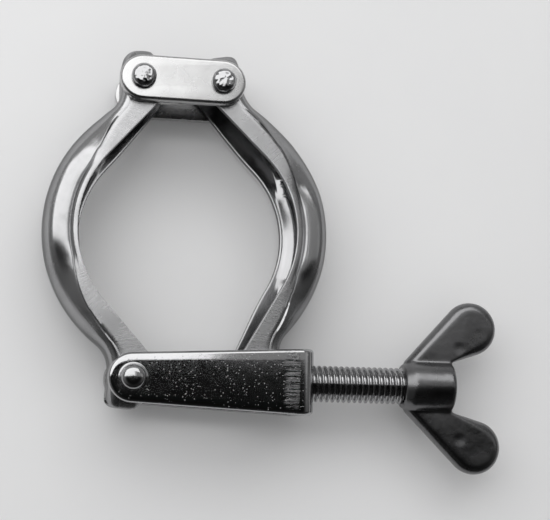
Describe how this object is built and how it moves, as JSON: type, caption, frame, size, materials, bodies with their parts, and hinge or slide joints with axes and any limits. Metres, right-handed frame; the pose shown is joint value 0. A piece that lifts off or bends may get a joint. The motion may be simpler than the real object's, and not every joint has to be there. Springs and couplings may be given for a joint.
{
  "type": "hinged coupling clamp",
  "caption": "Hinged two-jaw channel clamp for a pipe joint, closed by a swing stirrup and a wing screw that bears on the free jaw's ear.",
  "frame": {"origin": "centre of the clamped ring, half way across the channel's width", "axes": "+Z along the ring's axis towards the rivet heads' side, +X along the wing screw from the stirrup pin to the wings, +Y towards the link hinge"},
  "size_m": [0.1021, 0.0897, 0.0228],
  "materials": {
    "jaw_steel": "polished stainless steel sheet with fine brushing",
    "plate_steel": "bright, fine grained",
    "stirrup_steel": "polished, lightly scratched",
    "rivet_steel": "bright turned",
    "screw_steel": "bright plated thread",
    "wing_metal": "dull cast surface, worn bright on the rims"
  },
  "bodies": {
    "fixed_jaw": {"left_jaw": "jaw_steel"},
    "link": {"front_link": "plate_steel", "rear_link": "plate_steel", "left_link_rivet": "rivet_steel", "right_link_rivet": "rivet_steel", "left_hinge_bush": "rivet_steel", "right_hinge_bush": "rivet_steel"},
    "free_jaw": {"right_jaw": "jaw_steel"},
    "stirrup": {"stirrup": "stirrup_steel", "stirrup_rivet": "rivet_steel", "stirrup_bush": "rivet_steel", "threaded_bush": "rivet_steel"},
    "tip": {"pressure_tip": "screw_steel"},
    "wing_screw": {"screw_stud": "screw_steel", "wing_head": "wing_metal"}
  },
  "joints": [
    {"name": "stirrup_swing", "type": "hinge", "parent": "fixed_jaw", "child": "stirrup", "pos_m": [-0.011, -0.0318, 0], "axis": [0, 0, 1], "range_deg": [-200, 0]},
    {"name": "link_swing", "type": "hinge", "parent": "fixed_jaw", "child": "link", "pos_m": [-0.011, 0.032, 0], "axis": [0, 0, -1], "range_deg": [-10.5, 0.5]},
    {"name": "jaw_swing", "type": "hinge", "parent": "link", "child": "free_jaw", "pos_m": [0.00615, 0.032, 0], "axis": [0, 0, -1], "range_deg": [-20.5, 0.5]},
    {"name": "screw_feed", "type": "slide", "parent": "stirrup", "child": "tip", "axis": [-1, 0, 0], "range_m": [-0.0024, 0.0016]},
    {"name": "screw_turn", "type": "hinge", "parent": "tip", "child": "wing_screw", "pos_m": [0.04, -0.0318, 0], "axis": [-1, 0, 0], "range_deg": [-720, 480]}
  ],
  "couplings": [
    {"joint": "link_swing", "follows": "stirrup_swing", "ratio": 0.05},
    {"joint": "jaw_swing", "follows": "stirrup_swing", "ratio": 0.1},
    {"joint": "screw_turn", "follows": "screw_feed", "rad_per_m": 5026.5}
  ]
}
